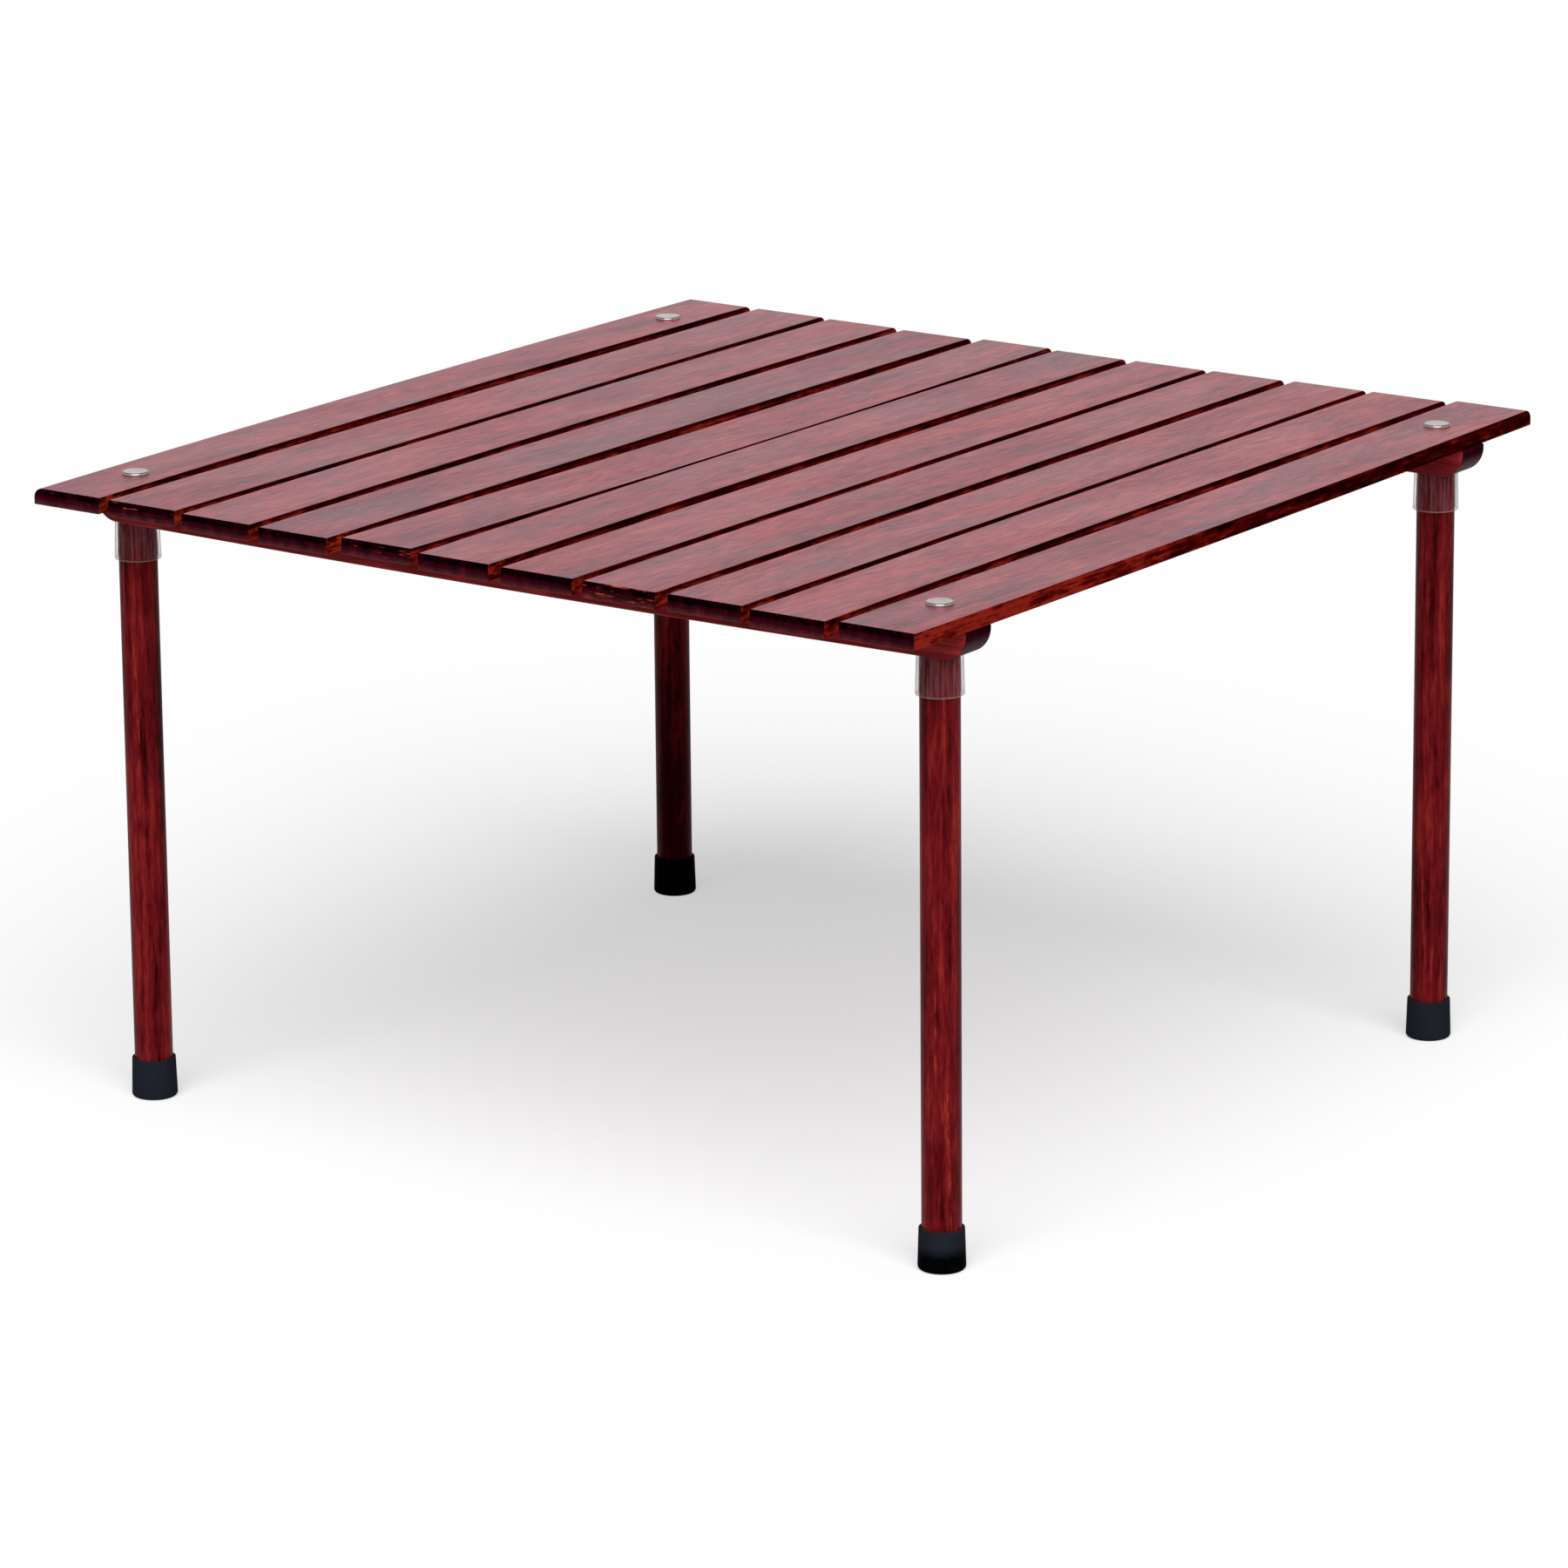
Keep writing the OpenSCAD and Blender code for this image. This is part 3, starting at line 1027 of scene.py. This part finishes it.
class BuildRails(Builder, bpy.types.Operator):
    """Models the two cross rails, with round lower corners and a hole for each stud"""

    bl_idname = "camp_table.build_rails"
    bl_label = "Cross rails"

    def straight_rail(self, sizes, k, woods):
        """A rail with round lower corners, which is shorter on the first slat's side."""
        node = f"cross_rail_{k}"
        at, across = middle(node), size(node)
        bottom, half = at.z - across.z / 2, across.y / 2
        curve = half - sizes.rail_end
        rail = start_block(f"stained_rail_{k}", at, across, woods)

        def lower_corner(e):
            at_end = runs_along(e, X) and abs(abs(centre_of(e).y) - half) < MM
            return at_end and abs(centre_of(e).z - bottom) < MM

        with editing(rail):
            split_along(Y, sizes.rail_columns)
            pick("edges", lower_corner)
            round_edges(sizes.rail_end, 12)
            round_sharp_edges(sizes.rail_ease, 3)
            end = 1
            paint_faces(end, lambda f: abs(centre_of(f).y) > curve and abs(f.normal.x) < 0.7)
            choose("VERT")
            pick("verts", lambda v: v.co.y > curve - MM)
            bpy.ops.transform.translate(value=(0, -sizes.rail_trim, 0))
        return rail

    def build(self, table):
        wood = rail_wood(table.rail_wood)
        # End grain of the rails: 0.06 of painted shade on the upper part, then a sheen low down that is
        # partly painted
        end = end_wood("stained_rail_end", "cross_rail_1", table.end_wood, 0.06, (0.2, 0.8, 0.4))
        stud_y = abs(middle("leg_stud_1").y)
        for k in RAILS:
            node, bow = f"cross_rail_{k}", RAIL_BOW[k] * MM
            rail = self.straight_rail(table.sizes, k, (wood, end))
            bend(rail, Y, lambda y: (bow * (1 - (y / stud_y) ** 2), 0, 0), reach=stud_y)
            make_holes(rail, node, "leg_stud", table.sizes.stud / 2 + table.sizes.rail_gap)
            dress_rider(rail, wood, node)
            flatten_faces(rail)


class BuildCapNuts(Builder, bpy.types.Operator):
    """Models the cap nuts: a low round head and a barrel with a blind hole"""

    bl_idname = "camp_table.build_cap_nuts"
    bl_label = "Cap nuts"

    def one_nut(self, sizes, node, metals):
        low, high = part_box(node)
        top_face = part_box(MID_SLAT)[1][Z]
        radius = (high[X] - low[X]) / 2
        roof, rim_flat, dish, dish_depth = 0.3 * MM, 0.5 * MM, 3 * MM, 0.12 * MM
        head_foot = foot_of(node)
        head_foot.z = top_face
        nut = start_round("nut_pattern", head_foot, radius, high[Z] - top_face, materials=metals)
        with editing(nut, "FACE"):
            pick_cap(-1, top_face)
            bpy.ops.mesh.inset(thickness=radius - sizes.nut_barrel / 2)
            draw_up(low[Z] - top_face)
            bpy.ops.mesh.inset(thickness=sizes.nut_barrel / 2 - sizes.stud / 2 - sizes.nut_gap)
            draw_up(top_face - low[Z] - roof)
            pick_cap(1, high[Z])
            choose("EDGE")
            bpy.ops.mesh.region_to_loop()
            round_edges(sizes.nut_rim, 5)
            choose("FACE")
            pick_cap(1, high[Z])
            bpy.ops.mesh.inset(thickness=rim_flat)
            bpy.ops.mesh.inset(thickness=dish, depth=-dish_depth)
            # Painted reflection: the rim's upper faces get the dark rim plate
            rim = 1
            paint_faces(rim, lambda f: 0.6 < f.normal.z < 0.96)
        return nut

    def build(self, table):
        metal = plated_steel("polished_steel", table.other.nickel, 0.14, [60, 900, 60])
        # Dark plate for the reflection painted on the rims
        rim = plated_steel("polished_rim", table.other.nickel_rim_dark_reflection, 0.14, [200, 200, 200])
        pattern = self.one_nut(table.sizes, "cap_nut_1", (metal, rim))
        stand_at_corners(pattern, "nickel_cap_nut", "cap_nut", metal)


class BuildStuds(Builder, bpy.types.Operator):
    """Models the studs, with a cut thread above the leg"""

    bl_idname = "camp_table.build_studs"
    bl_label = "Studs"

    def thread(self, sizes, foot, root, turns):
        """A ridge that winds up the stud: a diamond outline drawn round and up."""
        pick_none()
        bpy.ops.mesh.primitive_circle_add(vertices=4, radius=sizes.thread_ridge, location=foot)
        ridge = bpy.context.active_object
        with editing(ridge, "VERT"):
            pick_all()
            bpy.ops.transform.rotate(value=math.pi / 2, orient_axis="X", center_override=foot)
            bpy.ops.transform.translate(value=(root, 0, 0))
        wind = ridge.modifiers.new("wind", "SCREW")
        wind.screw_offset = sizes.thread_pitch
        wind.iterations = turns
        wind.steps = wind.render_steps = 20
        apply(ridge, wind)
        with editing(ridge):
            pick_all()
            bpy.ops.mesh.fill_holes(sides=4)
            pick_all()
            bpy.ops.mesh.normals_make_consistent(inside=False)
        pick_only(ridge)
        return settle("thread")

    def one_stud(self, sizes, node):
        foot, height = foot_of(node), size(node).z
        leg_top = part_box("leg_1")[1][Z]
        root = sizes.stud / 2 - sizes.thread_ridge
        tip_ease, sunk = 0.8 * MM, 2 * MM
        core = start_round("stud_pattern", foot, root, height, sides=32)
        with editing(core):
            round_sharp_edges(tip_ease, 2)
        start = Vector((foot.x, foot.y, leg_top - sunk))
        turns = int((foot.z + height - start.z) / sizes.thread_pitch) - 1
        return join("stud_pattern", [core, self.thread(sizes, start, root, turns)])

    def build(self, table):
        metal = plated_steel("stud_steel", table.other.zinc, 0.34, [400, 400, 400])
        pattern = self.one_stud(table.sizes, "leg_stud_1")
        stand_at_corners(pattern, "zinc_stud", "leg_stud", metal)


class BuildSleeves(Builder, bpy.types.Operator):
    """Models the clear sleeves round the tops of the legs"""

    bl_idname = "camp_table.build_sleeves"
    bl_label = "Sleeves"

    def one_sleeve(self, sizes, node):
        foot, across = foot_of(node), size(node)
        leg_r = size("leg_1").x / 2
        wider = 1 + sizes.sleeve_flare / (across.x / 2)
        lip_ease = 0.4 * MM
        sleeve = start_round("sleeve_pattern", foot, across.x / 2, across.z, fill="NOTHING")
        wall = sleeve.modifiers.new("wall", "SOLIDIFY")
        wall.thickness = across.x / 2 - leg_r - sizes.close_gap
        wall.offset = -1
        apply(sleeve, wall)
        with editing(sleeve):
            round_sharp_edges(lip_ease, 3)
            pick("verts", lambda v: v.co.z < foot.z + MM)
            bpy.ops.transform.resize(value=(wider, wider, 1), center_override=foot)
        return sleeve

    def build(self, table):
        vinyl = clear_vinyl(table.other)
        pattern = self.one_sleeve(table.sizes, "leg_sleeve_1")
        stand_at_corners(pattern, "vinyl_sleeve", "leg_sleeve", vinyl)


class BuildLegs(Builder, bpy.types.Operator):
    """Models the round legs, with eased ends and a socket for the stud"""

    bl_idname = "camp_table.build_legs"
    bl_label = "Legs"

    def one_leg(self, sizes, node):
        foot, across = foot_of(node), size(node)
        leg_top = foot.z + across.z
        root = leg_top - foot_of("leg_stud_1").z
        leg = start_round("leg_pattern", foot, across.x / 2, across.z, sides=96)
        with editing(leg, "FACE"):
            pick_cap(1, leg_top)
            bpy.ops.mesh.inset(thickness=across.x / 2 - sizes.stud / 2 - sizes.close_gap)
            draw_up(-root)
            choose("EDGE")
            round_sharp_edges(sizes.leg_ease, 3)
        return leg

    def build(self, table):
        wood = dowel_wood(table.leg_wood)
        pattern = self.one_leg(table.sizes, "leg_1")
        shares = {"top_tone": LEG_TOP_TONE_AND_SHADE, "foot_tone": LEG_FOOT_TONE_AND_SHADE}
        stand_at_corners(pattern, "stained_leg", "leg", wood, shares)


class BuildFeet(Builder, bpy.types.Operator):
    """Models the rubber feet: cups that widen towards the floor"""

    bl_idname = "camp_table.build_feet"
    bl_label = "Feet"

    def one_foot(self, sizes, node):
        foot, wide = foot_of(node), size(node).x / 2
        wall, flare, lip_ease = 1.7 * MM, 0.8 * MM, 0.5 * MM
        mouth = foot.z + sizes.foot_height
        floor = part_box("leg_1")[0][Z]
        cup = start_round("foot_pattern", foot, wide, sizes.foot_height)
        with editing(cup, "FACE"):
            pick_cap(1, mouth)
            shrink = (wide - flare) / wide
            bpy.ops.transform.resize(value=(shrink, shrink, 1), center_override=(foot.x, foot.y, mouth))
            bpy.ops.mesh.inset(thickness=wall)
            draw_up(floor - mouth)
            choose("EDGE")
            pick("edges", lambda e: lies_at(e, foot.z))
            round_edges(sizes.foot_round, 6)
            pick("edges", lambda e: lies_at(e, mouth) and not points_inwards(e, foot))
            round_edges(lip_ease, 3)
        return cup

    def build(self, table):
        rubber = foot_rubber(table.other, table.sizes.foot_height)
        pattern = self.one_foot(table.sizes, "leg_foot_1")
        shares = {"black": FOOT_BLACK}
        stand_at_corners(pattern, "rubber_foot", "leg_foot", rubber, shares)


class BuildStage(Builder, bpy.types.Operator):
    """Sets up the floor, the light and the camera"""

    bl_idname = "camp_table.build_stage"
    bl_label = "Stage"

    def seen_directly(self, surface):
        """1 for what the camera, a reflection or a clear piece shows, and 0 for light on the object."""
        kinds = ("Is Camera Ray", "Is Glossy Ray", "Is Transmission Ray")
        camera, gloss, clear = (surface.node("ShaderNodeLightPath", output=kind) for kind in kinds)
        return camera.largest(gloss).largest(clear)

    def floor(self, stage):
        pick_none()
        bpy.ops.mesh.primitive_plane_add(size=80, location=(0, 0, 0))
        floor = bpy.context.active_object
        floor.name = "studio_floor"
        matt = {"Roughness": 1.0, "Specular_IOR_Level": 0.0, "Emission_Strength": stage.floor_glow}
        grey = (*[stage.floor_grey] * 3, 1)
        material, paint = new_material("studio_floor", Base_Color=grey, **matt)
        paint.show(Emission_Color=paint.mix(self.seen_directly(paint), (0, 0, 0), (1, 1, 1)))
        floor.data.materials.append(material)

    def light(self, stage):
        world = bpy.data.worlds.new("studio_sky")
        world.use_nodes = True
        bpy.context.scene.world = world
        sky = Surface(world.node_tree)
        background = world.node_tree.nodes["Background"].inputs
        background["Color"].default_value = (1, 1, 1, 1)
        sky.feed(background["Strength"], stage.sky + self.seen_directly(sky) * (1 - stage.sky))
        bpy.ops.object.light_add(type="SUN", location=(-2, -1.5, 3))
        lamp = bpy.context.active_object
        lamp.name = "key_light"
        lamp.data.energy = stage.key
        lamp.data.angle = stage.key_spread
        lamp.rotation_euler = Euler((math.pi / 2 - stage.key_height, 0, stage.heading - math.pi / 2))

    def camera(self, stage):
        lens = bpy.data.cameras.new("photo_camera")
        lens.lens = stage.lens
        lens.sensor_width = 36
        lens.clip_end = 200
        camera = bpy.data.objects.new("photo_camera", lens)
        bpy.context.collection.objects.link(camera)
        turn = Euler((math.pi / 2 - stage.pitch, 0, stage.heading - math.pi / 2)).to_matrix()
        turn = turn @ Matrix.Rotation(stage.roll, 3, "Z")
        camera.matrix_world = Matrix.Translation(stage.camera_place) @ turn.to_4x4()
        bpy.context.scene.camera = camera

    def build(self, table):
        bpy.context.scene.view_settings.view_transform = "Standard"
        self.floor(table.stage)
        self.light(table.stage)
        self.camera(table.stage)


BUILDERS = (
    BuildSlats, BuildStraps, BuildStaples, BuildRails, BuildCapNuts, BuildStuds,
    BuildSleeves, BuildLegs, BuildFeet, BuildStage,
)


class CampTablePanel(bpy.types.Panel):
    """Lists the pieces of the table in the sidebar"""

    bl_idname = "VIEW3D_PT_camp_table"
    bl_label = "Camp table"
    bl_space_type = "VIEW_3D"
    bl_region_type = "UI"
    bl_category = "Camp table"

    def draw(self, context):
        for builder in BUILDERS:
            self.layout.operator(builder.bl_idname)


CLASSES = (
    SlatFinish, SideFinish, EndFinish, RailFinish, LegFinish, OtherFinish, TableSizes, StageSettings,
    CampTable, *BUILDERS, CampTablePanel,
)


def register():
    for item in CLASSES:
        bpy.utils.register_class(item)
    bpy.types.Scene.camp_table = PointerProperty(type=CampTable)


def unregister():
    del bpy.types.Scene.camp_table
    for item in reversed(CLASSES):
        bpy.utils.unregister_class(item)


def main():
    register()
    for builder in BUILDERS:
        family, step = builder.bl_idname.split(".")
        getattr(getattr(bpy.ops, family), step)()


if __name__ == "__main__":
    main()
